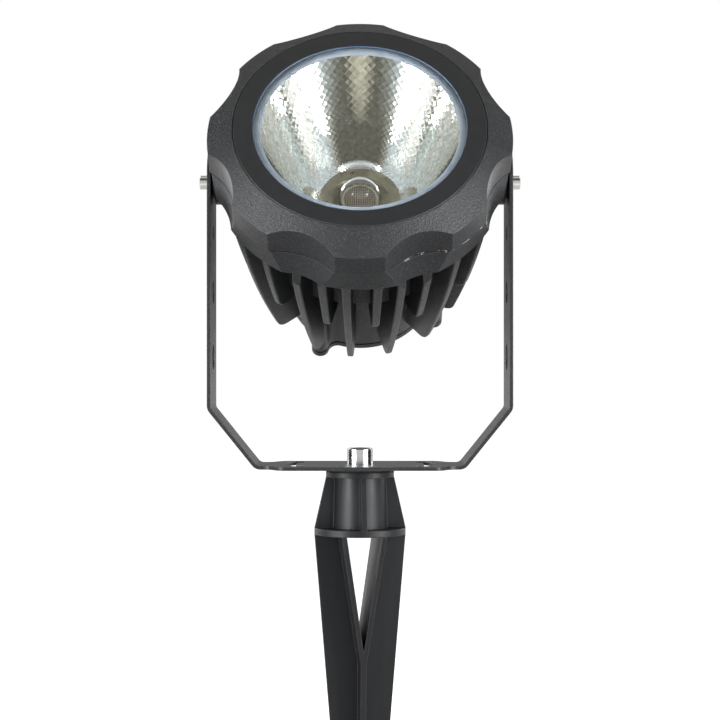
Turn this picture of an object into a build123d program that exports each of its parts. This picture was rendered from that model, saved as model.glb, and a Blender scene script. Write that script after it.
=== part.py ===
from build123d import *
import os
from math import atan2, cos, degrees, radians, sin, sqrt, tan

# Garden spike spotlight: a finned die-cast head tilts in a bent steel bracket,
# and the bracket swivels on a moulded ground spike.
# Millimetres and degrees. Origin on the spike axis at the ground line, +Z up,
# the light faces -Y. Inside the head, depth is measured rearwards from the front
# face along the light axis, and angles go round that axis from the lowest point.

# ---- pose the lamp is drawn in
head_elevation = 33.5           # light axis above the horizon
spike_yaw = 6.0                 # spike turned against the bracket

# ---- clearances
running_gap = 0.05              # flat faces and shanks that turn on each other
thread_gap = 0.05               # shank in its tapped hole
seat_gap = 0.1                  # piece in its recess
screw_clearance = 0.25          # shank in a plain hole
head_clearance = 0.3            # screw head in its counterbore

# ---- ground spike
stop_flange_radius = 22.8
stop_flange_thickness = 3.2
collar_height = 25.4
collar_top_radius = 12.8
collar_foot_radius = 13.6
top_flange_radius = 17.0
top_flange_thickness = 2.6
nut_ledge_thickness = 8.0
rib_thickness = 2.7
spike_length = 220.0
spike_point_length = 20.0
spike_taper_end_half = 6.4
spike_point_half = 0.9
prong_gap_half = 8.7
prong_gap_depth = 57.0
prong_lip_thickness = 2.3

# ---- swivel screw at the foot of the bracket
swivel_shank_radius = 4.0
swivel_head_radius = 6.5
swivel_head_height = 8.0
swivel_screw_length = 20.0
swivel_hex_flats = 6.0
nut_flats = 13.0
nut_height = 6.5
pad_radius = 15.0
pad_thickness = 1.8

# ---- bracket
sheet = 1.8
arm_width = 36.0
pivot_height = 140.6
lower_bend_inset = 22.8         # lower bends inside the arms
diagonal_rise = 28.3
bend_radius = 3.5
plate_half_width = 28.0
plate_full_half = 36.0
plate_shoulder_end = 48.0
slot_circle_radius = 35.1
slot_width = 6.2
slot_half_angle = 30.0
arm_holes = ((25.1, 3.8), (54.6, 5.8), (87.1, 6.5))    # drop below the pivot, radius

# ---- tilt pivot
pivot_depth = 43.4
pivot_boss_radius = 11.0
pivot_boss_inset = 1.7          # boss faces inside the bezel's crests
pivot_shank_radius = 2.0
pivot_head_radius = 3.5
pivot_head_height = 4.0
pivot_screw_length = 12.0
pivot_hex_flats = 3.0
friction_washer_radius = 8.0
friction_washer_thickness = 0.9
flat_washer_radius = 4.5
flat_washer_thickness = 0.8

# ---- front: ring, glass, bezel
ring_outer_radius = 61.2
ring_wall = 3.5                 # round the glass
ring_cover = 6.2                # how far the ring laps over the glass
ring_lip = 0.7
ring_chamfer = 0.3
ring_joint = 0.25
glass_thickness = 3.0
glass_gasket_width = 4.0
glass_gasket_thickness = 1.5
lobe_count = 8
lobe_half_angle = 9.2
bezel_rim_width = 12.8          # from the ring to the crests
bezel_scallop = 6.4
bezel_slope_depth = 7.6
bezel_depth = 21.3
bezel_ledge_thickness = 3.8
bezel_rear_relief = 0.4         # rear bore wider than the glass
parting_width = 0.8
parting_depth = 1.8
joint_gasket_inset = 3.0        # gasket's middle outside the rear bore
joint_gasket_width = 2.6
joint_gasket_thickness = 1.7

# ---- screws that hold the bezel
bezel_screw_edge = 7.5          # screw axes inside the crests
bezel_screw_count = 4
bezel_screw_radius = 2.0
bezel_screw_head_radius = 3.5
bezel_screw_head_height = 4.0
bezel_screw_length = 16.0
bezel_screw_recess = 5.0

# ---- heat sink housing
flange_thickness = 12.7
flange_front_step = 0.8         # flange inside the bezel's crests, front and rear
flange_rear_step = 1.4
scallop_run_out = 22.0          # depth over which the scallops fade
scallop_rest = 0.5              # and what is left of them there
cup_clearance = 0.6             # cup wider than the bezel's bore
cup_wall = 4.0
cup_floor_depth = 60.6
cup_floor_thickness = 5.4
barrel_rear_radius = 38.6
barrel_taper = 1.0
barrel_wall = 4.1
barrel_end_depth = 130.0
fin_angles = (6.1, 15.4, 26.1, 39.7, 53.4, 65.2, 77.5)    # one quarter, wider gaps at screws
fin_turn = 0.8                  # the fins' middle, round from the lowest point
fin_root_thickness = 4.3
fin_end_thickness = 3.0
fin_edge_radius = 0.7
fin_corner_radius = 6.0
fin_bulge = 2.2
fin_drop = 5.2                  # fin ends inside the cup's radius
long_fin_setback = 8.0          # fin ends ahead of the barrel's end
short_fin_setback = 51.0
side_fin_drop = 4.1             # lower fins that leave room beside the arms
side_fin_angle = 60.0           # from here up to the same angle above
cover_ear_angle = -28.1         # the cover's first ear
cover_ear_count = 4
cover_ear_reach = 5.9           # ears' screw axes outside the barrel
cover_ear_radius = 4.5
cover_ear_fillet = 5.0
ear_root = 2.0                  # depth of an ear's root in the rim

# ---- reflector and light source
reflector_inset = 3.6           # mouth inside the ring's opening
reflector_throat = 20.5
reflector_wall = 1.2
board_radius = 32.0
board_thickness = 1.6
thermal_pad_thickness = 0.6
board_screw_circle = 28.0
board_screw_count = 3
board_screw_angle = 30.0
chip_radius = 9.5
chip_thickness = 0.8
phosphor_radius = 8.25
phosphor_thickness = 0.4
dome_radius = 11.0
dome_wall = 1.0
dome_flange_radius = 14.0
dome_flange_thickness = 1.2
lead_radius = 0.9
lead_circle = 27.5
lead_spacing = 3.6
lead_hole_radius = 3.6

# ---- driver in the rear barrel
driver_gap = 1.5                # board's edge to the barrel
standoff_inset = 6.0            # screw axes inside the board's edge
standoff_radius = 3.5
standoff_height = 6.0
driver_thickness = 1.6
core_width = 22.0
core_depth = 18.0
core_height = 17.0
core_limb = 4.5
winding_proud = 3.0
capacitor_radius = 6.25
capacitor_height = 22.0
film_capacitor_size = (18.0, 8.0, 13.0)
terminal_size = (16.0, 9.0, 11.0)
terminal_poles = 3
small_screw_radius = 1.5
small_head_radius = 2.75
small_head_height = 2.0
board_screw_length = 6.0
driver_screw_length = 5.0
cover_screw_length = 10.0

# ---- rear cover and cable gland
rear_gasket_thickness = 1.2
rear_gasket_inset = 0.6         # gasket's edge inside the cover's
cover_thickness = 3.0
cover_lip_length = 2.5
cover_lip_wall = 3.0
gland_thread_radius = 8.0
gland_bore = 5.0
gland_hex_flats = 20.0
gland_hex_height = 4.5
gland_washer_thickness = 1.0
gland_washer_radius = 11.0
gland_locknut_height = 4.0
gland_socket_length = 8.0
gland_seal_length = 8.0
gland_seal_outer = 6.4
gland_seal_bore = 3.5
gland_nut_wall = 1.6
gland_nut_length = 13.0
gland_nut_ribs = 12
gland_nut_mouth = 4.4

# ---- sizes that follow from the ones above
spike_top = stop_flange_thickness + collar_height + top_flange_thickness
plate_bottom = spike_top + pad_thickness + running_gap
plate_top = plate_bottom + sheet
swivel_seat = plate_top + running_gap
pivot_z = plate_top + pivot_height
glass_radius = ring_outer_radius - ring_wall - seat_gap
aperture_radius = glass_radius - ring_cover
bezel_crest_radius = ring_outer_radius + bezel_rim_width
bezel_bore = glass_radius - glass_gasket_width - 2 * seat_gap
bezel_rear_bore = glass_radius + bezel_rear_relief
bezel_screw_circle = bezel_crest_radius - bezel_screw_edge
joint_gasket_radius = bezel_rear_bore + joint_gasket_inset
reflector_mouth = aperture_radius - reflector_inset
reflector_flange_radius = bezel_bore - 2 * seat_gap
pivot_boss_face = bezel_crest_radius - pivot_boss_inset
arm_inner = pivot_boss_face + friction_washer_thickness + 2 * running_gap
arm_outer = arm_inner + sheet
lower_bend_half = arm_inner - lower_bend_inset
glass_back = ring_lip + glass_thickness
glass_seat = glass_back + glass_gasket_thickness
flange_rear = bezel_depth + flange_thickness
flange_front_radius = bezel_crest_radius - flange_front_step
flange_rear_radius = bezel_crest_radius - flange_rear_step
cup_bore = bezel_bore + cup_clearance
cup_radius = cup_bore + cup_wall
barrel_front_depth = cup_floor_depth + cup_floor_thickness
barrel_front_radius = barrel_rear_radius + barrel_taper
barrel_bore = barrel_rear_radius - barrel_wall
fin_end_radius = cup_radius - fin_drop
long_fin_end = barrel_end_depth - long_fin_setback
short_fin_end = barrel_end_depth - short_fin_setback
side_fin_radius = flange_rear_radius - side_fin_drop
cover_ear_circle = barrel_rear_radius + cover_ear_reach
driver_radius = barrel_bore - driver_gap
standoff_circle = driver_radius - standoff_inset
rear_gasket_outer = barrel_rear_radius - rear_gasket_inset
board_back = cup_floor_depth - thermal_pad_thickness
board_front = board_back - board_thickness
driver_front = barrel_front_depth + standoff_height
driver_back = driver_front + driver_thickness
cover_front = barrel_end_depth + rear_gasket_thickness
cover_back = cover_front + cover_thickness
gland_hex_front = cover_back + gland_washer_thickness
gland_hex_back = gland_hex_front + gland_hex_height
gland_socket_end = gland_hex_back + gland_socket_length
gland_nut_front = gland_hex_back + seat_gap


# ---- helpers
def polar(radius, angle):
    """Point round the light axis; angle 0 is the lowest point, 90 is +X."""
    return (radius * sin(radians(angle)), -radius * cos(radians(angle)))


def ring_of(shape, count, radius, first=0.0):
    """Copies of a shape, drawn on the light axis, spaced evenly on a circle."""
    step = 360 / count
    return [Pos(*polar(radius, first + step * i)) * shape for i in range(count)]


def turned(*points):
    """Solid turned about the light axis from (radius, depth) corners."""
    outline = Polyline(*[(radius, 0, -depth) for radius, depth in points], close=True)
    return revolve(make_face(outline), Axis.Z)


def disc(radius, front, back, bore=0.0):
    """Disc or tube between two depths."""
    return turned((bore, front), (radius, front), (radius, back), (bore, back))


def hexagon(flats, height):
    """Hexagonal prism standing on z = 0."""
    return extrude(RegularPolygon(flats / sqrt(3), 6), height)


def socket_screw(shank, length, head, height, flats):
    """Socket cap screw, seat at z = 0, head upwards."""
    screw = Pos(0, 0, height / 2) * Cylinder(head, height)
    screw = chamfer(screw.edges().group_by(Axis.Z)[-1], height * 0.08)
    screw += Pos(0, 0, -length / 2) * Cylinder(shank, length)
    socket_depth = height * 0.55
    return screw - Pos(0, 0, height - socket_depth) * hexagon(flats, socket_depth + 1)


def pan_screw(shank, length, head, height):
    """Pan head screw with a hex recess, seat at z = 0, head upwards."""
    screw = Pos(0, 0, height / 2) * Cylinder(head, height)
    screw = fillet(screw.edges().group_by(Axis.Z)[-1], height * 0.35)
    screw += Pos(0, 0, -length / 2) * Cylinder(shank, length)
    recess = height * 0.5
    return screw - Pos(0, 0, height - recess) * hexagon(head * 0.8, recess + 1)


def facing_front(shape, depth):
    """Place a screw so that its seat is at this depth and its head faces the front."""
    return Pos(0, 0, -depth) * shape


def facing_rear(shape, depth):
    """Place a screw so that its seat is at this depth and its head faces the rear."""
    return Pos(0, 0, -depth) * Rot(180, 0, 0) * shape


def in_head(shape):
    """Move a piece from the head's own frame to its place on the lamp."""
    tilt = Pos(0, 0, pivot_z) * Rot(90 - head_elevation, 0, 0) * Pos(0, 0, pivot_depth)
    return tilt * shape


# ---- ground spike and swivel
def spike_blade():
    """Tapered flat blade in the XZ plane, one rib thick."""
    taper_end = spike_length - spike_point_length
    outline = [
        (stop_flange_radius, 0),
        (spike_taper_end_half, -taper_end),
        (spike_point_half, -spike_length),
        (-spike_point_half, -spike_length),
        (-spike_taper_end_half, -taper_end),
        (-stop_flange_radius, 0),
    ]
    return make_face(Polyline(*outline, close=True))


def prong_wedge(wall):
    """Downward wedge face between the prongs, grown outwards by a wall."""
    slant = sqrt(prong_gap_half ** 2 + prong_gap_depth ** 2)
    half = prong_gap_half + wall * slant / prong_gap_depth
    depth = prong_gap_depth * half / prong_gap_half
    return make_face(Polyline((-half, 0), (half, 0), (0, -depth), close=True))


def ground_spike():
    front_blade = extrude(Plane.XZ * spike_blade(), rib_thickness / 2, both=True)
    side_blade = Rot(0, 0, 90) * front_blade
    wide_blade = extrude(Plane.XZ * spike_blade(), stop_flange_radius, both=True)
    wide_gap = extrude(Plane.XZ * prong_wedge(0), stop_flange_radius + 1, both=True)
    lips = extrude(Plane.XZ * prong_wedge(prong_lip_thickness), stop_flange_radius, both=True)
    lips = lips & (Rot(0, 0, 90) * wide_blade)
    side_blade = side_blade - wide_gap
    prongs = (front_blade + side_blade + lips) - wide_gap

    collar_top = stop_flange_thickness + collar_height
    stop_flange = Pos(0, 0, stop_flange_thickness / 2) * Cylinder(
        stop_flange_radius, stop_flange_thickness)
    collar = Pos(0, 0, stop_flange_thickness + collar_height / 2) * Cone(
        collar_foot_radius, collar_top_radius, collar_height)
    top_flange = Pos(0, 0, collar_top + top_flange_thickness / 2) * Cylinder(
        top_flange_radius, top_flange_thickness)
    gusset_outline = Polyline(
        (-stop_flange_radius, stop_flange_thickness),
        (stop_flange_radius, stop_flange_thickness),
        (top_flange_radius, collar_top),
        (-top_flange_radius, collar_top),
        close=True)
    gusset = extrude(Plane.XZ * make_face(gusset_outline), rib_thickness / 2, both=True)
    body = stop_flange + collar + top_flange + gusset + Rot(0, 0, 90) * gusset + prongs

    nut_top = spike_top - nut_ledge_thickness
    pocket = hexagon(nut_flats + 2 * seat_gap, nut_top)
    shank_hole = Pos(0, 0, spike_top / 2) * Cylinder(
        swivel_shank_radius + screw_clearance, spike_top + 2)
    return body - pocket - shank_hole


def swivel_nut():
    nut_top = spike_top - nut_ledge_thickness
    nut = hexagon(nut_flats, nut_height)
    nut -= Pos(0, 0, nut_height / 2) * Cylinder(swivel_shank_radius + thread_gap, nut_height + 2)
    return Pos(0, 0, nut_top - nut_height) * nut


def swivel_screw():
    screw = socket_screw(
        swivel_shank_radius, swivel_screw_length, swivel_head_radius,
        swivel_head_height, swivel_hex_flats)
    return Pos(0, 0, swivel_seat) * screw


def swivel_pad():
    pad = Cylinder(pad_radius, pad_thickness)
    pad -= Cylinder(swivel_shank_radius + screw_clearance, pad_thickness + 2)
    return Pos(0, 0, spike_top + pad_thickness / 2) * pad


# ---- bracket
def bracket_fill(wall):
    """Region inside the bent strip, seen from the front, grown outwards by a wall."""
    slope = degrees(atan2(diagonal_rise, arm_inner - lower_bend_half))
    half = arm_inner + wall
    rise = diagonal_rise - wall * tan(radians(90 - slope) / 2)
    foot = lower_bend_half + wall * tan(radians(slope) / 2)
    top = pivot_height + arm_width
    corners = [(-half, top), (-half, rise), (-foot, -wall), (foot, -wall), (half, rise), (half, top)]
    bent = FilletPolyline(*corners, radius=bend_radius + wall)
    return make_face(bent.edges() + Line(corners[-1], corners[0]).edges())


def plate_plan():
    """Outline of the strip seen from above, widened round the swivel screw."""
    reach = arm_outer + 5
    arm_half = arm_width / 2
    upper = Spline(
        (plate_full_half, plate_half_width), (plate_shoulder_end, arm_half),
        tangents=((1, 0), (1, 0)))
    lower = mirror(upper, about=Plane.XZ)
    straight = [
        Line((0, plate_half_width), (plate_full_half, plate_half_width)),
        Line((plate_shoulder_end, arm_half), (reach, arm_half)),
        Line((reach, arm_half), (reach, -arm_half)),
        Line((reach, -arm_half), (plate_shoulder_end, -arm_half)),
        Line((plate_full_half, -plate_half_width), (0, -plate_half_width)),
        Line((0, -plate_half_width), (0, plate_half_width)),
    ]
    edges = upper.edges() + lower.edges()
    for line in straight:
        edges += line.edges()
    half = make_face(edges)
    return half + mirror(half, about=Plane.YZ)


def yoke_bracket():
    strip = extrude(
        Plane.XZ * (bracket_fill(sheet) - bracket_fill(0)), plate_half_width + 1, both=True)
    plan = Pos(0, 0, -2 * sheet) * extrude(plate_plan(), pivot_height + 3 * arm_width)
    side = Rectangle(3 * plate_half_width, 2 * pivot_height) + Pos(0, pivot_height) * Circle(
        arm_width / 2)
    ends = extrude(Plane.YZ * side, arm_outer + 5, both=True)
    bracket = strip & plan & ends

    pivot_hole = Pos(0, 0, pivot_height) * Rot(0, 90, 0) * Cylinder(
        pivot_shank_radius + running_gap, 3 * arm_outer)
    bracket -= pivot_hole
    for drop, radius in arm_holes:
        bracket -= Pos(0, 0, pivot_height - drop) * Rot(0, 90, 0) * Cylinder(radius, 3 * arm_outer)
    bracket -= Cylinder(swivel_shank_radius + running_gap, 3 * sheet)
    for side_angle in (0, 180):
        path = CenterArc((0, 0), slot_circle_radius, side_angle - slot_half_angle, 2 * slot_half_angle)
        bracket -= extrude(SlotArc(path, slot_width), 2 * sheet, both=True)
    return Pos(0, 0, plate_top) * bracket


# ---- tilt pivot
def mirrored_pair(shape):
    """A piece on the +X side and its twin on the -X side."""
    return Compound([shape, mirror(shape, about=Plane.YZ)])


def on_pivot(shape, seat):
    """Place a screw or washer on the pivot axis, head outwards, seat at this X."""
    return Pos(seat, 0, pivot_z) * Rot(0, 90, 0) * shape


def pivot_screws():
    seat = arm_outer + running_gap + flat_washer_thickness
    screw = socket_screw(
        pivot_shank_radius, pivot_screw_length, pivot_head_radius,
        pivot_head_height, pivot_hex_flats)
    return mirrored_pair(on_pivot(screw, seat))


def washer(radius, thickness, bore):
    ring = Cylinder(radius, thickness) - Cylinder(bore, thickness + 2)
    return Pos(0, 0, thickness / 2) * ring


def pivot_washers():
    ring = washer(flat_washer_radius, flat_washer_thickness, pivot_shank_radius + screw_clearance)
    return mirrored_pair(on_pivot(ring, arm_outer + running_gap))


def friction_washers():
    ring = washer(
        friction_washer_radius, friction_washer_thickness, pivot_shank_radius + screw_clearance)
    return mirrored_pair(on_pivot(ring, pivot_boss_face))


# ---- bezel, ring and glass
def lobed_face(crest, valley):
    """Outline with rounded crests and a concave scallop between each pair."""
    step = 360 / lobe_count
    edges = ShapeList()
    for i in range(lobe_count):
        middle = i * step
        start = polar(crest, middle - lobe_half_angle)
        end = polar(crest, middle + lobe_half_angle)
        following = polar(crest, middle + step - lobe_half_angle)
        edges += ThreePointArc(start, polar(crest, middle), end).edges()
        edges += ThreePointArc(end, polar(valley, middle + step / 2), following).edges()
    return make_face(edges)


def scallop_circle():
    """Distance and radius of the circle that cuts one scallop of the bezel."""
    off_middle = radians(180 / lobe_count - lobe_half_angle)
    rise = bezel_crest_radius * cos(off_middle) - (bezel_crest_radius - bezel_scallop)
    half_chord = bezel_crest_radius * sin(off_middle)
    radius = (rise ** 2 + half_chord ** 2) / (2 * rise)
    return bezel_crest_radius - bezel_scallop + radius, radius


def front_bezel():
    seat = ring_outer_radius + ring_joint
    slope = bezel_slope_depth / (bezel_crest_radius - seat)
    outer = bezel_crest_radius + 2
    gasket_wall = glass_radius + seat_gap
    ledge_back = glass_seat + bezel_ledge_thickness
    body = turned(
        (seat, 0), (outer, slope * (outer - seat)), (outer, bezel_depth),
        (bezel_rear_bore, bezel_depth), (bezel_rear_bore, ledge_back), (bezel_bore, ledge_back),
        (bezel_bore, glass_seat), (gasket_wall, glass_seat), (gasket_wall, glass_back),
        (seat, glass_back))
    valley = bezel_crest_radius - bezel_scallop
    lobes = Pos(0, 0, -bezel_depth) * extrude(
        lobed_face(bezel_crest_radius, valley), bezel_depth)
    body = body & lobes
    groove_face = lobed_face(bezel_crest_radius + 1, valley + 1) - lobed_face(
        bezel_crest_radius - parting_depth, valley - parting_depth)
    body -= Pos(0, 0, -bezel_depth) * extrude(groove_face, parting_width)
    tapped_depth = bezel_screw_length - (flange_thickness - bezel_screw_recess) + 1
    hole = Cylinder(bezel_screw_radius + thread_gap, tapped_depth)
    hole = Pos(0, 0, -bezel_depth + tapped_depth / 2) * hole
    first = 360 / bezel_screw_count / 2
    return body - ring_of(hole, bezel_screw_count, bezel_screw_circle, first)


def glass_ring():
    wall = glass_radius + seat_gap
    return turned(
        (aperture_radius + ring_chamfer, 0), (ring_outer_radius - ring_chamfer, 0),
        (ring_outer_radius, ring_chamfer), (ring_outer_radius, glass_back), (wall, glass_back),
        (wall, ring_lip), (aperture_radius, ring_lip), (aperture_radius, ring_chamfer))


def glass_lens():
    return disc(glass_radius, ring_lip, glass_back)


def glass_gasket():
    return disc(glass_radius, glass_back, glass_seat, glass_radius - glass_gasket_width)


def joint_gasket():
    half = joint_gasket_width / 2
    return disc(
        joint_gasket_radius + half, bezel_depth, bezel_depth + joint_gasket_thickness,
        joint_gasket_radius - half)


def bezel_screws():
    screw = socket_screw(
        bezel_screw_radius, bezel_screw_length, bezel_screw_head_radius,
        bezel_screw_head_height, bezel_screw_radius * 1.5)
    seat = flange_rear - bezel_screw_recess
    first = 360 / bezel_screw_count / 2
    return Compound(ring_of(facing_rear(screw, seat), bezel_screw_count, bezel_screw_circle, first))


# ---- housing
def fin_face(start_radius, end_depth):
    """One fin seen from the side, from the flange to its end, in (radius, depth)."""
    start = (start_radius, -flange_rear)
    end = (fin_end_radius, -long_fin_end - 2)
    middle = (
        (start[0] + end[0]) / 2 + fin_bulge,
        (start[1] + end[1]) / 2)
    root = barrel_rear_radius - 1
    inner = cup_radius - 2
    buried = flange_rear - 2
    outline = ThreePointArc(start, middle, end).edges()
    outline += Polyline(
        end, (root, end[1]), (root, -barrel_front_depth + 2),
        (inner, -barrel_front_depth + 2), (inner, -buried), (start_radius, -buried), start).edges()
    face = make_face(outline)
    keep = Pos(0, -end_depth / 2) * Rectangle(4 * start_radius, end_depth)
    face = face & keep
    corner = face.vertices().sort_by(Axis.Y)[:2].sort_by(Axis.X)[-1]
    return fillet(corner, fin_corner_radius)


def fin(start_radius, end_depth):
    """One fin along +X, thinner towards its end, with softened edges."""
    plate = extrude(Plane.XZ * fin_face(start_radius, end_depth), fin_root_thickness, both=True)
    root = fin_root_thickness / 2
    tip = fin_end_thickness / 2
    draft = make_face(Polyline(
        (-root, -flange_rear + 4), (root, -flange_rear + 4), (root, -flange_rear),
        (tip, -long_fin_end - 2), (-tip, -long_fin_end - 2), (-root, -flange_rear), close=True))
    wedge = extrude(Plane.YZ * draft, 2 * start_radius)
    solid = plate & wedge
    outer = [
        edge for edge in solid.edges().filter_by(lambda edge: abs(edge.center().Y) > tip / 2)
        if edge.center().Z < -end_depth + fin_corner_radius
        or (edge.center().X > cup_radius + 1 and edge.center().Z < -flange_rear - 1)]
    return Rot(0, 0, -90) * fillet(outer, fin_edge_radius)


def fin_places():
    """The fins' angles in their order round the axis."""
    half = list(fin_angles) + [180 / 2] + [180 - angle for angle in reversed(fin_angles)]
    return half + [360 - angle for angle in reversed(half)]


def fins():
    """All the fins, alternately short and long, lower beside the arms."""
    kinds = {
        (long, side): fin(
            side_fin_radius if side else flange_rear_radius,
            long_fin_end if long else short_fin_end)
        for long in (True, False) for side in (True, False)}
    placed = []
    for i, angle in enumerate(fin_places()):
        side = min(angle % 180, 180 - angle % 180) > side_fin_angle
        long = i % 2 == 1
        placed.append(Rot(0, 0, angle + fin_turn) * kinds[(long, side)])
    return placed


def ear(rim, height):
    """One round ear on a rim of this radius, blended into it on both sides."""
    centre = cover_ear_circle
    reach = rim + cover_ear_fillet
    blend = cover_ear_radius + cover_ear_fillet
    along = (reach ** 2 - blend ** 2 + centre ** 2) / (2 * centre)
    across = sqrt(reach ** 2 - along ** 2)
    face = Pos(0, -centre) * Circle(cover_ear_radius)
    for side in (-1, 1):
        corner = (side * across, -along)
        web = make_face(Polyline((0, 0), (0, -centre), corner, close=True))
        face += web - Pos(*corner) * Circle(cover_ear_fillet)
    return extrude(face - Circle(rim - ear_root), height)


def ears(rim, front, back):
    """The ears or screw columns between two depths."""
    step = 360 / cover_ear_count
    column = Pos(0, 0, -back) * ear(rim, back - front)
    return [Rot(0, 0, cover_ear_angle + step * i) * column for i in range(cover_ear_count)]


def at_ears(shape):
    """Copies of a piece on the ears' screw axes."""
    return ring_of(shape, cover_ear_count, cover_ear_circle, cover_ear_angle)


def heatsink_housing():
    flange = turned(
        (cup_bore, bezel_depth), (flange_front_radius, bezel_depth),
        (flange_rear_radius, flange_rear), (cup_bore, flange_rear))
    cup = turned(
        (cup_bore, flange_rear - 1), (cup_radius, flange_rear - 1),
        (cup_radius, barrel_front_depth), (0, barrel_front_depth), (0, cup_floor_depth),
        (cup_bore, cup_floor_depth))
    barrel = turned(
        (barrel_bore, barrel_front_depth - 1), (barrel_front_radius, barrel_front_depth - 1),
        (barrel_rear_radius, barrel_end_depth), (barrel_bore, barrel_end_depth))
    boss_length = pivot_boss_face - cup_bore - 1
    boss = Pos(cup_bore + 1 + boss_length / 2, 0, -pivot_depth) * Rot(0, 90, 0) * Cylinder(
        pivot_boss_radius, boss_length)
    standoff = disc(standoff_radius, barrel_front_depth - 1, driver_front)
    standoffs = ring_of(standoff, board_screw_count, standoff_circle)
    body = flange + [cup, barrel, boss, mirror(boss, about=Plane.YZ)] + standoffs
    body += fins()
    body += ears(barrel_rear_radius, barrel_front_depth - 1, barrel_end_depth)
    return body - scallop_cutters() - housing_holes()


def scallop_cutters():
    """Cones that carry the bezel's scallops on into the flange and fade out in the fins."""
    distance, radius = scallop_circle()
    fade = radius - (distance - flange_rear_radius + scallop_rest)
    front = bezel_depth - 1
    length = scallop_run_out + 1
    cone = Pos(0, 0, -front - length / 2) * Cone(
        radius - fade, radius + fade / scallop_run_out, length)
    return ring_of(cone, lobe_count, distance, 180 / lobe_count)


def housing_holes():
    half = joint_gasket_width / 2 + seat_gap
    groove = disc(
        joint_gasket_radius + half, bezel_depth - 1,
        bezel_depth + joint_gasket_thickness + seat_gap, joint_gasket_radius - half)
    recess_front = flange_rear - bezel_screw_recess
    recess = disc(bezel_screw_head_radius + head_clearance, recess_front, flange_rear + 2)
    through = disc(bezel_screw_radius + screw_clearance, bezel_depth - 1, flange_rear + 2)
    first = 360 / bezel_screw_count / 2
    cuts = [groove]
    cuts += ring_of(recess + through, bezel_screw_count, bezel_screw_circle, first)

    tapped = pivot_boss_face - pivot_screw_length + 2
    pivot_hole = Pos((pivot_boss_face + tapped) / 2 + 1, 0, -pivot_depth) * Rot(0, 90, 0) * Cylinder(
        pivot_shank_radius + thread_gap, pivot_boss_face - tapped + 2)
    cuts += [pivot_hole, mirror(pivot_hole, about=Plane.YZ)]

    board_tap = disc(
        small_screw_radius + thread_gap, cup_floor_depth - 1,
        board_front + board_screw_length + 0.5)
    cuts += ring_of(board_tap, board_screw_count, board_screw_circle, board_screw_angle)
    driver_tap = disc(
        small_screw_radius + thread_gap, driver_back - driver_screw_length - 0.5, driver_front + 1)
    cuts += ring_of(driver_tap, board_screw_count, standoff_circle)
    cover_tap = disc(
        small_screw_radius + thread_gap, cover_back - cover_screw_length - 0.5,
        barrel_end_depth + 1)
    cuts += at_ears(cover_tap)
    wire_hole = disc(lead_hole_radius, cup_floor_depth - 1, barrel_front_depth + 1)
    cuts.append(Pos(*polar(lead_circle, 90)) * wire_hole)
    return cuts


# ---- reflector and light source
def reflector_radius(depth):
    """Inner radius of the bowl: a parabola from the mouth to the throat."""
    mouth_depth = glass_back + seat_gap
    share = (depth - mouth_depth) / (board_front - mouth_depth)
    return sqrt(reflector_mouth ** 2 - share * (reflector_mouth ** 2 - reflector_throat ** 2))


def reflector():
    front = glass_back + seat_gap
    flange_back = front + reflector_wall
    wall = reflector_wall + 0.1
    steps = 8
    depths = [front + (board_front - front) * i / steps for i in range(steps + 1)]
    inner = [(reflector_radius(depth), 0, -depth) for depth in depths]
    outer_depths = [board_front + (flange_back - board_front) * i / steps for i in range(steps + 1)]
    outer = [(reflector_radius(depth) + wall, 0, -depth) for depth in outer_depths]
    outline = Spline(*inner).edges() + Spline(*outer).edges()
    outline += Line(inner[-1], outer[0]).edges()
    outline += Polyline(
        outer[-1], (reflector_flange_radius, 0, -flange_back),
        (reflector_flange_radius, 0, -front), inner[0]).edges()
    return revolve(make_face(outline), Axis.Z)


def lead_points():
    """The two wires' places round the light axis."""
    x, y = polar(lead_circle, 90)
    return [(x, y - lead_spacing / 2), (x, y + lead_spacing / 2)]


def led_board():
    board = disc(board_radius, board_front, board_back)
    hole = disc(small_screw_radius + screw_clearance, board_front - 1, board_back + 1)
    board -= ring_of(hole, board_screw_count, board_screw_circle, board_screw_angle)
    wire = disc(lead_radius + screw_clearance, board_front - 1, board_back + 1)
    return board - [Pos(*point) * wire for point in lead_points()]


def thermal_pad():
    pad = disc(board_radius - seat_gap, board_back, cup_floor_depth)
    hole = disc(small_screw_radius + screw_clearance, board_back - 1, cup_floor_depth + 1)
    pad -= ring_of(hole, board_screw_count, board_screw_circle, board_screw_angle)
    wire_hole = disc(lead_hole_radius, board_back - 1, cup_floor_depth + 1)
    return pad - Pos(*polar(lead_circle, 90)) * wire_hole


def led_board_screws():
    screw = pan_screw(small_screw_radius, board_screw_length, small_head_radius, small_head_height)
    placed = facing_front(screw, board_front)
    return Compound(ring_of(placed, board_screw_count, board_screw_circle, board_screw_angle))


def led_chip():
    return disc(chip_radius, board_front - chip_thickness, board_front)


def led_phosphor():
    back = board_front - chip_thickness
    return disc(phosphor_radius, back - phosphor_thickness, back)


def dome_lens():
    """Clear hollow dome over the chip, on a flat flange."""
    level = board_front - dome_flange_thickness
    inner = dome_radius - dome_wall
    dome = Pos(0, 0, -level) * Sphere(dome_radius)
    dome = dome & (Pos(0, 0, -level + dome_radius) * Box(
        3 * dome_radius, 3 * dome_radius, 2 * dome_radius))
    dome += disc(dome_flange_radius, level, board_front)
    hollow = Pos(0, 0, -level) * Sphere(inner) + disc(inner, level, board_front + 1)
    return dome - hollow


def led_leads():
    wire = disc(lead_radius, board_front - 1, driver_front)
    return Compound([Pos(*point) * wire for point in lead_points()])


# ---- driver
def on_driver(shape, x, y):
    """Stand a component, drawn on z = 0 upwards, on the driver board's rear side."""
    return Pos(x, y, -driver_back) * Rot(180, 0, 0) * shape


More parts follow.
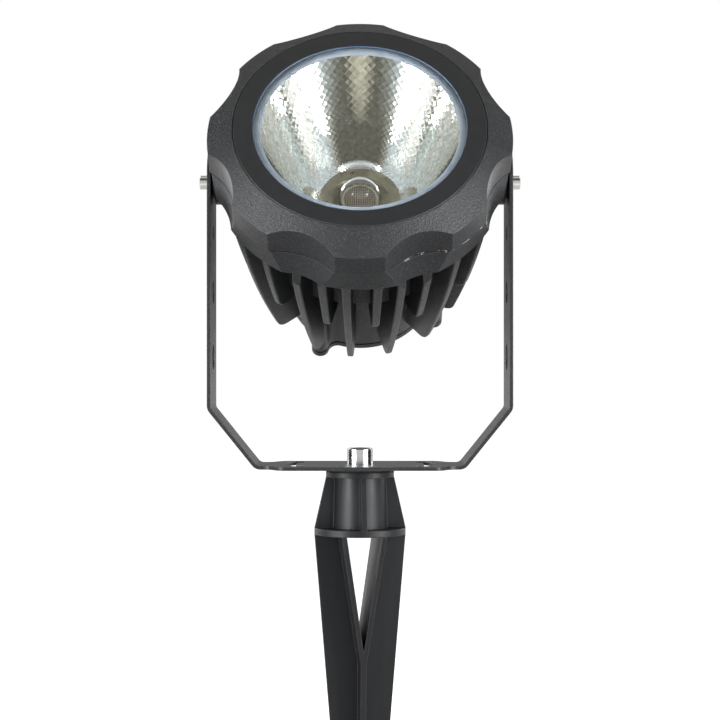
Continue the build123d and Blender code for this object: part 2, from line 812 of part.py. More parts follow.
def driver_board():
    board = disc(driver_radius, driver_front, driver_back)
    hole = disc(small_screw_radius + screw_clearance, driver_front - 1, driver_back + 1)
    return board - ring_of(hole, board_screw_count, standoff_circle)


def driver_screws():
    screw = pan_screw(small_screw_radius, driver_screw_length, small_head_radius, small_head_height)
    placed = facing_rear(screw, driver_back)
    return Compound(ring_of(placed, board_screw_count, standoff_circle))


def transformer_core():
    outer = Box(core_width, core_depth, core_height, align=(Align.CENTER, Align.CENTER, Align.MIN))
    window = Box(
        core_width - 2 * core_limb, core_depth + 2, core_height - 2 * core_limb,
        align=(Align.CENTER, Align.CENTER, Align.MIN))
    core = outer - Pos(0, 0, core_limb) * window
    return on_driver(core, -core_width / 2 - 3, 0)


def transformer_winding():
    width = core_width - 2 * core_limb - 2 * seat_gap
    height = core_height - 2 * core_limb - 2 * seat_gap
    coil = Box(
        width, core_depth + 2 * winding_proud, height,
        align=(Align.CENTER, Align.CENTER, Align.MIN))
    coil = fillet(coil.edges().filter_by(Axis.X), height * 0.25)
    return on_driver(Pos(0, 0, core_limb + seat_gap) * coil, -core_width / 2 - 3, 0)


def driver_capacitor():
    can = Pos(0, 0, capacitor_height / 2) * Cylinder(capacitor_radius, capacitor_height)
    can = fillet(can.edges().group_by(Axis.Z)[-1], 0.8)
    groove = Torus(capacitor_radius + 0.3, 0.8)
    can -= Pos(0, 0, capacitor_height * 0.12) * groove
    return on_driver(can, capacitor_radius + 5, capacitor_radius + 6)


def film_capacitor():
    box = Box(*film_capacitor_size, align=(Align.CENTER, Align.CENTER, Align.MIN))
    box = fillet(box.edges().filter_by(Axis.Z), 0.8)
    return on_driver(box, film_capacitor_size[0] / 2 + 2, -film_capacitor_size[1] / 2 - 3)


def terminal_block():
    length, width, height = terminal_size
    block = Box(length, width, height, align=(Align.CENTER, Align.CENTER, Align.MIN))
    pitch = length / terminal_poles
    for i in range(terminal_poles):
        place = pitch * (i - (terminal_poles - 1) / 2)
        block -= Pos(place, 0, height) * Cylinder(pitch * 0.28, height)
        block -= Pos(place, -width / 2, height * 0.3) * Box(pitch * 0.6, width, height * 0.3)
    return on_driver(block, film_capacitor_size[0] / 2, -film_capacitor_size[1] - 6 - width / 2)


# ---- rear cover and gland
def rear_gasket():
    return disc(rear_gasket_outer, barrel_end_depth, cover_front, barrel_bore + seat_gap)


def rear_cover():
    plate = disc(barrel_rear_radius, cover_front, cover_back)
    lip_radius = barrel_bore - 2 * seat_gap
    lip = disc(
        lip_radius, cover_front - rear_gasket_thickness - cover_lip_length, cover_front,
        lip_radius - cover_lip_wall)
    cover = plate + lip + ears(barrel_rear_radius, cover_front, cover_back)
    cover -= disc(gland_thread_radius + seat_gap, cover_front - 1, cover_back + 1)
    hole = disc(small_screw_radius + screw_clearance, cover_front - 1, cover_back + 1)
    return cover - at_ears(hole)


def rear_cover_screws():
    screw = pan_screw(small_screw_radius, cover_screw_length, small_head_radius, small_head_height)
    return Compound(at_ears(facing_rear(screw, cover_back)))


def gland_locknut():
    front = cover_front - gland_locknut_height
    nut = Pos(0, 0, -cover_front) * hexagon(gland_hex_flats, gland_locknut_height)
    return nut - disc(gland_thread_radius + thread_gap, front - 1, cover_front + 1)


def gland_washer():
    return disc(gland_washer_radius, cover_back, gland_hex_front, gland_thread_radius + seat_gap)


def gland_body():
    tail = cover_front - gland_locknut_height - 1
    body = disc(gland_thread_radius, tail, gland_socket_end)
    body += Pos(0, 0, -gland_hex_back) * hexagon(gland_hex_flats, gland_hex_height)
    body -= disc(gland_bore, tail - 1, gland_socket_end + 1)
    return body - disc(
        gland_seal_outer + seat_gap, gland_socket_end - gland_seal_length + 1,
        gland_socket_end + 1)


def gland_seal():
    front = gland_socket_end - gland_seal_length + 1
    return disc(gland_seal_outer, front, front + gland_seal_length, gland_seal_bore)


def gland_nut():
    inner = gland_thread_radius + thread_gap
    outer = inner + gland_nut_wall
    back = gland_nut_front + gland_nut_length
    seal_back = gland_socket_end + 1 + seat_gap
    shoulder = back - 3
    nut = turned(
        (inner, gland_nut_front), (outer, gland_nut_front), (outer, shoulder),
        (gland_nut_mouth + 1.5, back), (gland_nut_mouth, back), (gland_nut_mouth, seal_back),
        (inner, seal_back))
    rib_length = (shoulder - gland_nut_front) * 0.8
    rib = Pos(0, 0, -gland_nut_front - rib_length / 2) * Cylinder(0.9, rib_length)
    return nut + ring_of(rib, gland_nut_ribs, outer)


# ---- every sub-part, by node name
def spike_turned(shape):
    return Rot(0, 0, spike_yaw) * shape


nodes = {
    "ground_spike": spike_turned(ground_spike()),
    "swivel_nut": spike_turned(swivel_nut()),
    "swivel_screw": spike_turned(swivel_screw()),
    "swivel_pad": spike_turned(swivel_pad()),
    "yoke_bracket": yoke_bracket(),
    "pivot_screws": pivot_screws(),
    "pivot_washers": pivot_washers(),
    "friction_washers": friction_washers(),
}
head_pieces = (
    front_bezel, glass_ring, glass_lens, glass_gasket, joint_gasket, bezel_screws,
    heatsink_housing, reflector, led_board, thermal_pad, led_board_screws, led_chip,
    led_phosphor, dome_lens, led_leads, driver_board, driver_screws, transformer_core,
    transformer_winding, driver_capacitor, film_capacitor, terminal_block, rear_gasket,
    rear_cover, rear_cover_screws, gland_locknut, gland_washer, gland_body, gland_seal,
    gland_nut,
)
for piece in head_pieces:
    nodes[piece.__name__] = in_head(piece())

os.makedirs("parts", exist_ok=True)
for name, shape in nodes.items():
    export_step(shape, f"parts/{name}.step")
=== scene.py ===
import bpy
from math import cos, pi, radians, sin, sqrt
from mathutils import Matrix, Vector


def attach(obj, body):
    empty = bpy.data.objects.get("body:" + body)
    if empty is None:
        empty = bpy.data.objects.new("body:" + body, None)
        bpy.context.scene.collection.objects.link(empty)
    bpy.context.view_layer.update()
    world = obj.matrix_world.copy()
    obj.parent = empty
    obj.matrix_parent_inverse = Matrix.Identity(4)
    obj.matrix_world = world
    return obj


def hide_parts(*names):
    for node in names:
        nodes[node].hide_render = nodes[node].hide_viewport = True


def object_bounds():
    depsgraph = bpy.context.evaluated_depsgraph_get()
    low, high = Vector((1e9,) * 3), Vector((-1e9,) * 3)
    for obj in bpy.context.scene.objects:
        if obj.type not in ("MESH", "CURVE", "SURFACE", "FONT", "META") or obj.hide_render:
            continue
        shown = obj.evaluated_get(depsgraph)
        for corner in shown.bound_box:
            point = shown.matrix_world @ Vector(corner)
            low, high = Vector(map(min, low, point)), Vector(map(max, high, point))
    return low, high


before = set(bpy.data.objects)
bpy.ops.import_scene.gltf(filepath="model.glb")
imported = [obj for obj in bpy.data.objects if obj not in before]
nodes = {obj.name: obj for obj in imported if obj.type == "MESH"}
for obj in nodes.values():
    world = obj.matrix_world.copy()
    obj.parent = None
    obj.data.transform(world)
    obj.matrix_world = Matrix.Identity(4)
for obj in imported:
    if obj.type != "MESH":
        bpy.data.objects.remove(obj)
cad_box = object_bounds()

# ---- the head's own frame: light axis, upward axis, pivot (metres)
ELEVATION = radians(33.5)
PIVOT = Vector((0, 0, 0.17545))
PIVOT_DEPTH = 0.0434            # of the pivot, behind the head's front face
AXIS = Vector((0, -cos(ELEVATION), sin(ELEVATION)))
UP = Vector((0, sin(ELEVATION), cos(ELEVATION)))
SIDE = Vector((1, 0, 0))
APERTURE_RADIUS = 0.0514        # of the ring's opening
BEZEL_DEPTH = 0.0213            # of the joint between bezel and flange
WHITE = (1.0, 1.0, 1.0)


def head_point(radius, angle, depth):
    """A point of the head: radius and angle round the light axis, depth behind the front face."""
    around = SIDE * sin(angle) - UP * cos(angle)
    return PIVOT + AXIS * (PIVOT_DEPTH - depth) + around * radius


# ---- small node helpers
def rgba(colour):
    if isinstance(colour, bpy.types.NodeSocket):
        return colour
    return (*colour, 1.0)


def shade(colour, factor, lift=0.0):
    return tuple(lift + factor * channel for channel in colour)


class Graph:
    """A node tree, with short ways to add the nodes used here."""

    def __init__(self, tree, shader):
        self.tree = tree
        self.shader = tree.nodes[shader]

    def add(self, kind, inputs=None, **settings):
        node = self.tree.nodes.new(kind)
        for key, value in settings.items():
            setattr(node, key, value)
        for key, value in (inputs or {}).items():
            if isinstance(value, bpy.types.NodeSocket):
                self.tree.links.new(value, node.inputs[key])
            else:
                node.inputs[key].default_value = value
        return node

    def put(self, key, value):
        """Set or link an input of the graph's own shader."""
        if isinstance(value, bpy.types.NodeSocket):
            self.tree.links.new(value, self.shader.inputs[key])
        else:
            self.shader.inputs[key].default_value = value

    def blend_out(self, factor, other, output):
        """Mix the graph's shader with another one, and link the mix to the output node."""
        inputs = {0: factor, 1: self.shader.outputs[0], 2: other}
        both = self.add("ShaderNodeMixShader", inputs)
        self.tree.links.new(both.outputs[0], self.tree.nodes[output].inputs["Surface"])

    def maths(self, operation, *values):
        inputs = dict(enumerate(values))
        return self.add("ShaderNodeMath", inputs, operation=operation).outputs[0]

    def times(self, first, second):
        return self.maths("MULTIPLY", first, second)

    def noise(self, scale, detail=2.0, roughness=0.5, vector=None):
        inputs = {"Vector": vector or self.place, "Scale": scale}
        inputs.update({"Detail": detail, "Roughness": roughness})
        return self.add("ShaderNodeTexNoise", inputs).outputs[0]

    def stretched(self, factors):
        inputs = {"Vector": self.place, "Scale": factors}
        return self.add("ShaderNodeMapping", inputs).outputs[0]

    def remap(self, value, low, high, to_low=0.0, to_high=1.0, smooth=False):
        inputs = {0: value, 1: low, 2: high, 3: to_low, 4: to_high}
        style = "SMOOTHSTEP" if smooth else "LINEAR"
        return self.add("ShaderNodeMapRange", inputs, interpolation_type=style).outputs[0]

    def vary(self, noise, to_low=0.0, to_high=1.0):
        """A noise's usual range, spread over a range of values."""
        return self.remap(noise, 0.3, 0.7, to_low, to_high)

    def mix(self, factor, first, second):
        inputs = {0: factor, 6: rgba(first), 7: rgba(second)}
        return self.add("ShaderNodeMix", inputs, data_type="RGBA").outputs[2]

    def bump(self, height, strength, distance, normal=None):
        inputs = {"Height": height, "Strength": strength, "Distance": distance}
        if normal is not None:
            inputs["Normal"] = normal
        return self.add("ShaderNodeBump", inputs).outputs[0]

    def along(self, direction):
        """Distance of the shaded point from the pivot along a direction."""
        inputs = {0: self.place, 1: tuple(PIVOT)}
        moved = self.add("ShaderNodeVectorMath", inputs, operation="SUBTRACT").outputs[0]
        inputs = {0: moved, 1: tuple(direction)}
        return self.add("ShaderNodeVectorMath", inputs, operation="DOT_PRODUCT").outputs["Value"]

    def from_axis(self):
        """Distance of the shaded point from the light axis."""
        across = self.maths("POWER", self.along(SIDE), 2.0)
        upward = self.maths("POWER", self.along(UP), 2.0)
        return self.maths("SQRT", self.maths("ADD", across, upward))

    def glossy_or_clear(self, path):
        """1 for rays that metal or glass sends on, else 0."""
        return self.maths("MAXIMUM", path.outputs["Is Glossy Ray"], path.outputs["Is Transmission Ray"])


def surface(name):
    """A new material's graph, with object coordinates ready as its place."""
    material = bpy.data.materials.new(name)
    material.use_nodes = True
    g = Graph(material.node_tree, "Principled BSDF")
    g.material = material
    g.place = g.add("ShaderNodeTexCoord").outputs["Object"]
    return g


# ---- materials
EDGE_RADIUS = 0.0005
EDGE_SAMPLES = 4
COAT = (0.0088, 0.0092, 0.0104)
# pale edge colour: partly rubbed coat, partly a painted highlight of light caught on rounded edges
WORN_LIT_EDGE = (0.13, 0.13, 0.132)
SEALANT_BLUE = (0.05, 0.13, 0.27)
BARE_METAL = (0.6, 0.6, 0.6)
CHIP_FADE = 0.0001              # over which the band of chips starts and ends
DIE_DENSITY = 900.0             # of the emitter's grid, per metre


def soft_edges(g):
    """Normals rounded over the edges, and how near the shaded point is to an edge."""
    soft = g.add("ShaderNodeBevel", {"Radius": EDGE_RADIUS}, samples=EDGE_SAMPLES).outputs[0]
    plain = g.add("ShaderNodeNewGeometry").outputs["Normal"]
    agree = g.add("ShaderNodeVectorMath", {0: soft, 1: plain}, operation="DOT_PRODUCT")
    return soft, g.remap(agree.outputs["Value"], 0.99, 0.9, smooth=True)


def powder_coat(name, grain, depth, roughness, wear_and_sheen):
    """Baked black coat on cast metal: sandy grain, slow tone changes, rubbed edges lightened further as
    a painted highlight.
    """
    g = surface(name)
    soft, edge = soft_edges(g)
    sand = g.noise(grain, 3.0, 0.7)
    slow = g.noise(38.0, 3.0, 0.6)
    speck = g.remap(sand, 0.52, 0.66, 0.0, 0.8, smooth=True)
    body = g.mix(speck, COAT, shade(COAT, 2.0, 0.025))
    tone = g.vary(slow, 0.85, 1.15)
    body = g.add("ShaderNodeVectorMath", {0: body, 3: tone}, operation="SCALE").outputs[0]
    # edges lightened in colour: partly rubbed coat, partly a painted highlight
    rub_and_sheen = g.times(edge, g.remap(slow, 0.3, 0.6, 0.4, 1.0))
    g.coat = g.mix(g.times(rub_and_sheen, wear_and_sheen), body, WORN_LIT_EDGE)
    g.put("Base Color", g.coat)
    g.put("Roughness", g.vary(sand, roughness + 0.1, roughness - 0.1))
    g.put("Specular IOR Level", 0.38)
    g.put("Normal", g.bump(sand, 0.9, depth, soft))
    return g


def chipped_coat(name, first_depth, last_depth):
    """Powder coat with bare chips along the joint between bezel and flange, low on the right."""
    g = powder_coat(name, 1150.0, 0.00032, 0.39, 0.35)
    depth = g.maths("SUBTRACT", PIVOT_DEPTH, g.along(AXIS))
    near = g.remap(depth, first_depth - CHIP_FADE, first_depth)
    far = g.remap(depth, last_depth + CHIP_FADE, last_depth)
    right = g.remap(g.along(SIDE), 0.016, 0.03, smooth=True)
    low = g.remap(g.along(UP), -0.03, -0.045, smooth=True)
    spots = g.remap(g.noise(360.0, 3.0, 0.7), 0.57, 0.6, smooth=True)
    lip = g.times(g.times(near, far), g.times(right, low))
    g.put("Base Color", g.mix(g.times(lip, spots), g.coat, BARE_METAL))
    return g


def smooth_coat(name, colour, roughness):
    """Satin paint on a machined ring, with a thin blue line of sealant at its opening and edges
    lightened as a painted highlight.
    """
    g = surface(name)
    soft, edge = soft_edges(g)
    body = g.mix(g.vary(g.noise(60.0)), colour, shade(colour, 1.2))
    # painted highlight: edges lightened in colour where light would catch them
    body = g.mix(g.times(edge, 0.25), body, (0.1, 0.1, 0.1))
    inner = g.remap(g.from_axis(), APERTURE_RADIUS + 0.00012, APERTURE_RADIUS + 0.00005)
    g.put("Base Color", g.mix(inner, body, SEALANT_BLUE))
    g.put("Roughness", g.vary(g.noise(240.0, 3.0), roughness - 0.04, roughness + 0.06))
    g.put("Normal", g.bump(g.noise(2400.0), 0.12, 0.00004, soft))
    return g


def moulded_plastic(name, colour):
    """Moulded nylon: faint flow streaks along its height, a spark-eroded grain, and edges lightened as
    a painted highlight.
    """
    g = surface(name)
    soft, edge = soft_edges(g)
    streak = g.noise(9.0, 4.0, 0.6, g.stretched((30.0, 30.0, 4.0)))
    grain = g.noise(1500.0, 2.0, 0.6)
    body = g.mix(g.remap(streak, 0.35, 0.7), colour, shade(colour, 1.5))
    # painted highlight: edges lightened in colour where light would catch them
    g.put("Base Color", g.mix(g.times(edge, 0.35), body, (0.09, 0.09, 0.09)))
    g.put("Roughness", g.vary(streak, 0.37, 0.51))
    g.put("Specular IOR Level", 0.3)
    g.put("Normal", g.bump(grain, 0.28, 0.00006, g.bump(streak, 0.15, 0.0004, soft)))
    return g


def steel(name, colour, roughness, lines):
    """Stainless steel with turning marks and light handling smears."""
    g = surface(name)
    turned = g.noise(1.0, 2.0, 0.5, g.stretched(lines))
    smear = g.noise(260.0, 3.0, 0.6)
    g.put("Metallic", 1.0)
    g.put("Base Color", g.mix(g.remap(smear, 0.3, 0.75), colour, shade(colour, 0.8)))
    g.put("Roughness", g.vary(smear, roughness - 0.04, roughness + 0.06))
    g.put("Normal", g.bump(turned, 0.15, 0.00003))
    return g


def rubber(name, colour, roughness=0.7):
    """Matt rubber or soft sheathing, with patches of dust."""
    g = surface(name)
    dust = g.noise(120.0, 3.0, 0.6)
    g.put("Base Color", g.mix(g.remap(dust, 0.45, 0.75), colour, shade(colour, 1.1, 0.02)))
    g.put("Roughness", g.vary(dust, roughness - 0.08, roughness + 0.08))
    g.put("Normal", g.bump(g.noise(1100.0, 3.0, 0.6), 0.2, 0.00008))
    return g


def clear(name, colour, roughness=0.0, ior=1.5):
    """Clear glass or silicone that lets the lamps through to what it covers."""
    g = surface(name)
    g.put("Base Color", rgba(colour))
    g.put("Transmission Weight", 1.0)
    g.put("IOR", ior)
    g.put("Roughness", roughness)
    g.put("Normal", g.bump(g.noise(34.0, 3.0, 0.6), 0.02, 0.0002))
    shadow = g.add("ShaderNodeLightPath").outputs["Is Shadow Ray"]
    open_air = g.add("ShaderNodeBsdfTransparent", {0: rgba(shade(colour, 0.94))})
    g.blend_out(shadow, open_air.outputs[0], "Material Output")
    return g


def mirror_metal():
    """Vacuum-metallised aluminium: each facet a slightly different tone."""
    g = surface("reflector_metal")
    facet = g.add("ShaderNodeAttribute", attribute_name="facet").outputs["Fac"]
    haze = g.noise(90.0, 3.0, 0.6)
    g.put("Metallic", 1.0)
    tone = g.mix(facet, (0.8, 0.8, 0.77), (0.97, 0.97, 0.94))
    g.put("Base Color", g.mix(g.remap(haze, 0.45, 0.8, 0.0, 0.25), tone, (0.78, 0.78, 0.74)))
    g.put("Roughness", g.vary(haze, 0.008, 0.03))
    return g


def pale_rim():
    """Bluish white satin on the reflector's flat rim under the glass."""
    g = surface("reflector_rim")
    cloud = g.noise(200.0, 3.0, 0.6)
    g.put("Base Color", g.mix(g.vary(cloud), (0.16, 0.2, 0.25), (0.23, 0.26, 0.3)))
    g.put("Roughness", g.vary(cloud, 0.4, 0.52))
    g.put("Normal", g.bump(g.noise(900.0), 0.1, 0.00005))
    return g


def board_finish():
    """Gold-plated copper of the light board, with darker patches."""
    g = surface("board_finish")
    wash = g.noise(160.0, 4.0, 0.65)
    g.put("Metallic", 0.75)
    g.put("Base Color", g.mix(g.vary(wash), (0.22, 0.2, 0.14), (0.36, 0.34, 0.25)))
    g.put("Roughness", g.vary(wash, 0.25, 0.42))
    g.put("Normal", g.bump(g.noise(1300.0), 0.1, 0.00006))
    return g


def emitter_finish():
    """Phosphor over a close grid of small dies."""
    g = surface("emitter_finish")
    inputs = {0: g.along(SIDE), 1: g.along(UP), 2: 0.0}
    grid = g.add("ShaderNodeCombineXYZ", inputs).outputs[0]
    inputs = {"Vector": grid, "Scale": DIE_DENSITY, "Randomness": 0.0}
    cells = g.add("ShaderNodeTexVoronoi", inputs)
    dots = g.remap(cells.outputs["Distance"], 0.22, 0.4, 1.0, 0.0, smooth=True)
    g.put("Base Color", g.mix(dots, (0.045, 0.03, 0.022), (0.36, 0.31, 0.24)))
    g.put("Roughness", g.remap(dots, 0.0, 1.0, 0.5, 0.3))
    g.put("Normal", g.bump(dots, 0.4, 0.0001))
    return g


def tinted(name, colour, roughness, metallic=0.0):
    """A plain inner piece: small tone and gloss changes over its surface."""
    g = surface(name)
    spots = g.noise(300.0, 3.0, 0.6)
    g.put("Metallic", metallic)
    g.put("Base Color", g.mix(g.vary(spots), colour, shade(colour, 0.8)))
    g.put("Roughness", g.vary(spots, roughness - 0.05, roughness + 0.08))
    g.put("Normal", g.bump(g.noise(1200.0), 0.15, 0.00006))
    return g


NYLON = (0.012, 0.012, 0.013)
stainless = steel("stainless", (0.72, 0.71, 0.7), 0.14, (700.0, 700.0, 5200.0))
screw_steel = steel("screw_steel", (0.55, 0.55, 0.55), 0.3, (900.0, 900.0, 900.0))
finishes = {
    "ground_spike": moulded_plastic("spike_plastic", (0.0034, 0.0036, 0.0043)),
    "swivel_pad": rubber("pad_rubber", (0.006, 0.006, 0.007)),
    "swivel_nut": screw_steel,
    "swivel_screw": stainless,
    "yoke_bracket": powder_coat("bracket_coat", 2300.0, 0.0001, 0.36, 0.6),
    "pivot_screws": stainless,
    "pivot_washers": screw_steel,
    "friction_washers": moulded_plastic("washer_nylon", (0.02, 0.02, 0.02)),
    "front_bezel": chipped_coat("bezel_coat", BEZEL_DEPTH - 0.0013, BEZEL_DEPTH - 0.0008),
    "glass_ring": smooth_coat("ring_coat", (0.0085, 0.009, 0.0105), 0.46),
    "glass_lens": clear("lens_glass", (0.97, 0.985, 0.99)),
    "glass_gasket": rubber("clear_seal", (0.5, 0.57, 0.66), 0.4),
    "joint_gasket": rubber("joint_seal", (0.02, 0.02, 0.02)),
    "bezel_screws": screw_steel,
    "heatsink_housing": chipped_coat("housing_coat", BEZEL_DEPTH, BEZEL_DEPTH + 0.0007),
    "led_board": board_finish(),
    "thermal_pad": rubber("heat_pad", (0.3, 0.35, 0.42)),
    "led_board_screws": screw_steel,
    "led_chip": tinted("chip_carrier", (0.5, 0.47, 0.38), 0.35, 0.3),
    "led_phosphor": emitter_finish(),
    "dome_lens": clear("dome_silicone", (0.99, 0.985, 0.97), 0.02, 1.42),
    "led_leads": rubber("lead_insulation", (0.4, 0.03, 0.02), 0.4),
    "driver_board": tinted("driver_mask", (0.02, 0.13, 0.05), 0.4),
    "driver_screws": screw_steel,
    "transformer_core": tinted("ferrite", (0.05, 0.05, 0.055), 0.6),
    "transformer_winding": tinted("winding_tape", (0.55, 0.42, 0.06), 0.35),
    "driver_capacitor": tinted("capacitor_sleeve", (0.02, 0.02, 0.05), 0.3),
    "film_capacitor": tinted("film_case", (0.45, 0.06, 0.03), 0.3),
    "terminal_block": tinted("terminal_plastic", (0.05, 0.22, 0.07), 0.4),
    "rear_gasket": rubber("cover_seal", (0.012, 0.012, 0.012)),
    "rear_cover": powder_coat("cover_coat", 1700.0, 0.0002, 0.46, 0.35),
    "rear_cover_screws": screw_steel,
    "gland_locknut": moulded_plastic("gland_nylon", NYLON),
    "gland_washer": rubber("gland_rubber", (0.012, 0.012, 0.012)),
    "gland_body": moulded_plastic("gland_body_nylon", NYLON),
    "gland_seal": rubber("gland_seal_rubber", (0.014, 0.014, 0.014)),
    "gland_nut": moulded_plastic("gland_nut_nylon", NYLON),
}
for name, finish in finishes.items():
    for slot in nodes[name].material_slots:
        slot.material = finish.material

# ---- faceted reflector, in place of the smooth bowl
MOUTH_RADIUS = 0.0478
THROAT_RADIUS = 0.0205
MOUTH_DEPTH = 0.0038
THROAT_DEPTH = 0.0584
FLANGE_RADIUS = 0.0532
REFLECTOR_WALL = 0.0012
FACETS_AROUND = 72
FACET_HEIGHT = 1.2              # of a facet, in facet widths
BACK_BANDS = 8                  # of faces, up the bowl's plain outer side
TONE_STEP = 0.61803398875       # spreads the facets' tones evenly
TONE_STAGGER = 0.137            # keeps neighbours from falling in line
BACK_TONE = 0.4
BOWL_DROP = MOUTH_RADIUS ** 2 - THROAT_RADIUS ** 2
BOWL_LENGTH = THROAT_DEPTH - MOUTH_DEPTH


def bowl_radius(depth):
    """Radius of the parabolic bowl at a depth behind the front face."""
    share = (depth - MOUTH_DEPTH) / BOWL_LENGTH
    return sqrt(MOUTH_RADIUS ** 2 - share * BOWL_DROP)


def facet_rows():
    """Depths of the facets' corners, closer together towards the throat."""
    rows = [MOUTH_DEPTH]
    while rows[-1] < THROAT_DEPTH:
        radius = bowl_radius(rows[-1])
        slope = BOWL_DROP / BOWL_LENGTH / 2 / radius
        width = 2 * pi * radius / FACETS_AROUND
        rows.append(rows[-1] + width * FACET_HEIGHT / 2 / sqrt(1 + slope ** 2))
    if len(rows) % 2 == 0:
        rows.pop()
    stretch = BOWL_LENGTH / (rows[-1] - MOUTH_DEPTH)
    return [MOUTH_DEPTH + (depth - MOUTH_DEPTH) * stretch for depth in rows]


def outer_profile():
    """Radius and depth of the plain outer side, from the throat to the flange's front."""
    rise = MOUTH_DEPTH + REFLECTOR_WALL - THROAT_DEPTH
    depths = [THROAT_DEPTH + rise * band / BACK_BANDS for band in range(BACK_BANDS + 1)]
    bowl = [(bowl_radius(depth) + REFLECTOR_WALL, depth) for depth in depths]
    return bowl + [(FLANGE_RADIUS, MOUTH_DEPTH + REFLECTOR_WALL), (FLANGE_RADIUS, MOUTH_DEPTH)]


def reflector_mesh():
    """A closed bowl: staggered diamond facets inside, plain outside, a flat rim in front."""
    count = FACETS_AROUND
    step = 2 * pi / count
    points = []
    faces = []
    rows = facet_rows()
    for k, depth in enumerate(rows):
        shift = k % 2 / 2
        points += [head_point(bowl_radius(depth), -(i + shift) * step, depth) for i in range(count)]
    last = len(rows) - 1

    def corner(row, i):
        return row * count + i % count

    for i in range(count):
        faces.append((corner(0, i), corner(1, i), corner(0, i + 1)))
        for k in range(last - 1):
            side = k % 2
            left, right = corner(k + 1, i - 1 + side), corner(k + 1, i + side)
            faces.append((corner(k, i), left, corner(k + 2, i), right))
        faces.append((corner(last, i), corner(last, i + 1), corner(last - 1, i)))
    inner_faces = len(faces)
    outside = outer_profile()
    for radius, depth in outside:
        points += [head_point(radius, -i * step, depth) for i in range(count)]
    loops = [last] + [last + 1 + j for j in range(len(outside))] + [0]
    for a, b in zip(loops, loops[1:]):
        for i in range(count):
            faces.append((corner(a, i), corner(b, i), corner(b, i + 1), corner(a, i + 1)))
    mesh = bpy.data.meshes.new("reflector_facets")
    mesh.from_pydata([tuple(p) for p in points], [], faces)
    mesh.validate()
    mesh.update()
    tone = mesh.attributes.new("facet", "FLOAT", "FACE")
    for index, item in enumerate(tone.data):
        spread = (index * TONE_STEP + (index % 7) * TONE_STAGGER) % 1.0
        item.value = spread if index < inner_faces else BACK_TONE
    for face in mesh.polygons:
        face.use_smooth = True
        face.material_index = 1 if face.index >= len(faces) - count else 0
    # sharp edges all round a facet give it one normal, so that it mirrors as a flat pane
    creases = mesh.attributes.new("sharp_edge", "BOOLEAN", "EDGE")
    for edge in mesh.edges:
        creases.data[edge.index].value = min(edge.vertices) < count * len(rows)
    return mesh


reflector = bpy.data.objects.new("reflector_facets", reflector_mesh())
bpy.context.scene.collection.objects.link(reflector)
reflector.data.materials.append(mirror_metal().material)
reflector.data.materials.append(pale_rim().material)
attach(reflector, "head")
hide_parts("reflector")

# ---- floor
scene = bpy.context.scene
FLOOR_SIZE = 14
FLOOR_DROP = 0.0005             # below the spike's tip
FLOOR_GREY = (0.4, 0.4, 0.4)
NEAR_RADIUS = 0.25              # up to here the floor glows least and keeps the shadow
FAR_RADIUS = 0.6                # from here on it is as white as the backdrop
NEAR_GLOW = 0.45
FAR_GLOW = 1.0
MIRRORED_GLOW = 0.6             # share of the glow that metal and glass see
bpy.ops.mesh.primitive_plane_add(
    size=FLOOR_SIZE, location=(0, 0, cad_box[0][2] - FLOOR_DROP))
floor = bpy.context.object
floor.name = "floor"


def floor_paint():
    """Pale floor: it keeps the shadow near the lamp and runs out into plain white."""
    g = surface("floor_paint")
    distance = g.add("ShaderNodeVectorMath", {0: g.place}, operation="LENGTH").outputs["Value"]
    glow = g.remap(distance, NEAR_RADIUS, FAR_RADIUS, NEAR_GLOW, FAR_GLOW, smooth=True)
    path = g.add("ShaderNodeLightPath")
    mirrored = g.times(g.glossy_or_clear(path), MIRRORED_GLOW)
    shown = g.maths("MAXIMUM", path.outputs["Is Camera Ray"], mirrored)
    g.put("Roughness", 0.9)
    g.put("Base Color", rgba(FLOOR_GREY))
    g.put("Emission Color", rgba(WHITE))
    g.put("Emission Strength", g.times(shown, glow))
    return g


floor.data.materials.append(floor_paint().material)

# ---- light
WARM = (1.0, 0.96, 0.8)
COOL = (0.84, 0.93, 1.0)
ROOM_STRENGTH = 0.12
SIDE_STRENGTH = 0.4
LOW_STRENGTH = 0.75             # low ahead, seen in metal and glass alone
OVERHEAD_STRENGTH = 0.65        # narrow strip overhead, seen in metal and glass alone
BEHIND_SHARE = 0.35             # of the white backdrop, seen in metal and glass


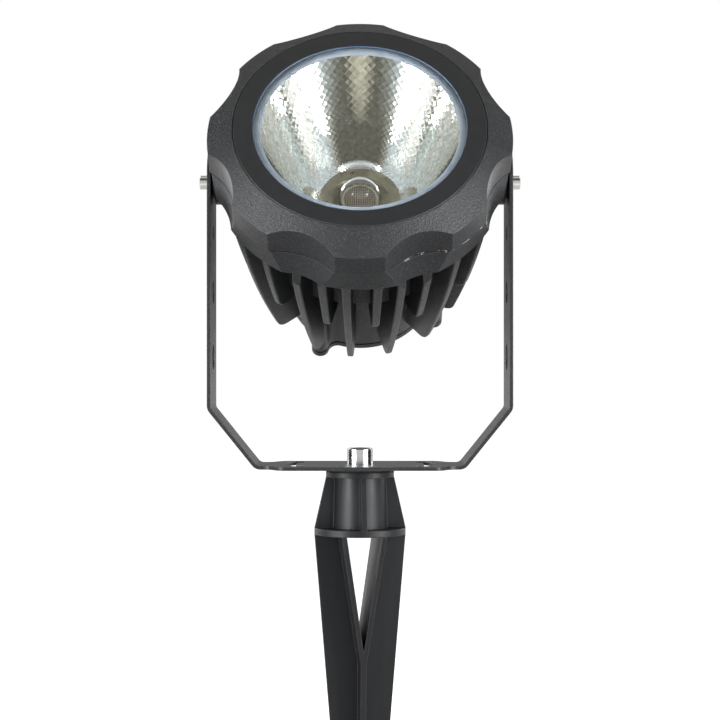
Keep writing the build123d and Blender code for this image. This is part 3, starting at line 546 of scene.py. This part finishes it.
def studio():
    """Soft room: warm and dim, cooler at the sides; the camera sees plain white behind."""
    world = bpy.data.worlds.new("studio")
    world.use_nodes = True
    g = Graph(world.node_tree, "Background")
    place = g.add("ShaderNodeTexCoord").outputs["Generated"]
    way = g.add("ShaderNodeSeparateXYZ", {0: place}).outputs
    path = g.add("ShaderNodeLightPath")
    gloss = g.glossy_or_clear(path)
    off_centre = g.maths("ABSOLUTE", way["X"])
    aside = g.remap(off_centre, 0.5, 0.85, smooth=True)
    low = g.times(g.remap(way["Z"], 0.62, 0.3, smooth=True), g.remap(way["Y"], 0.3, -0.1))
    overhead = g.times(g.remap(off_centre, 0.4, 0.32), g.remap(way["Z"], 0.92, 0.995))
    g.put("Color", g.mix(g.maths("MAXIMUM", aside, low), WARM, COOL))
    mirrored = g.maths("ADD", g.times(low, LOW_STRENGTH), g.times(overhead, OVERHEAD_STRENGTH))
    glow = g.maths("ADD", g.times(aside, SIDE_STRENGTH), g.times(gloss, mirrored))
    g.put("Strength", g.maths("ADD", glow, ROOM_STRENGTH))
    behind = g.times(gloss, g.remap(way["Y"], 0.1, 0.5, 0.0, BEHIND_SHARE))
    shown = g.maths("MAXIMUM", path.outputs["Is Camera Ray"], behind)
    white = g.add("ShaderNodeBackground", {0: rgba(WHITE), 1: 1.0})
    g.blend_out(shown, white.outputs[0], "World Output")
    return world


scene.world = studio()
LAMP_MIDDLE = Vector((0.0, 0.0, 0.13))


def softbox(name, place, width, height, power):
    """A rectangular lamp at place that faces the middle of the spotlight."""
    data = bpy.data.lights.new(name, "AREA")
    data.shape = "RECTANGLE"
    data.size = width
    data.size_y = height
    data.energy = power
    box = bpy.data.objects.new(name, data)
    box.location = place
    box.rotation_euler = (LAMP_MIDDLE - Vector(place)).to_track_quat("-Z", "Y").to_euler()
    scene.collection.objects.link(box)


softbox("left_box", (-1.12, -0.78, 0.27), 0.8, 0.9, 29.0)
softbox("right_box", (1.07, -0.84, 0.27), 0.8, 0.9, 28.0)
softbox("back_left", (-1.0, 1.0, 0.45), 0.6, 0.8, 10.0)
softbox("back_right", (1.0, 1.0, 0.45), 0.6, 0.8, 10.0)

# ---- camera, at the photo's distance and height
camera = bpy.data.objects.new("camera", bpy.data.cameras.new("camera"))
scene.collection.objects.link(camera)
camera.location = (0.0, -0.9, 0.0868)
camera.rotation_euler = (radians(90), 0, 0)
camera.data.sensor_width = 36.0
camera.data.lens = 90.0
camera.data.clip_start = 0.01
camera.data.clip_end = 50.0
scene.camera = camera
scene.view_settings.view_transform = "Standard"
scene.cycles.glossy_bounces = 10    # the bowl's corners mirror one another many times
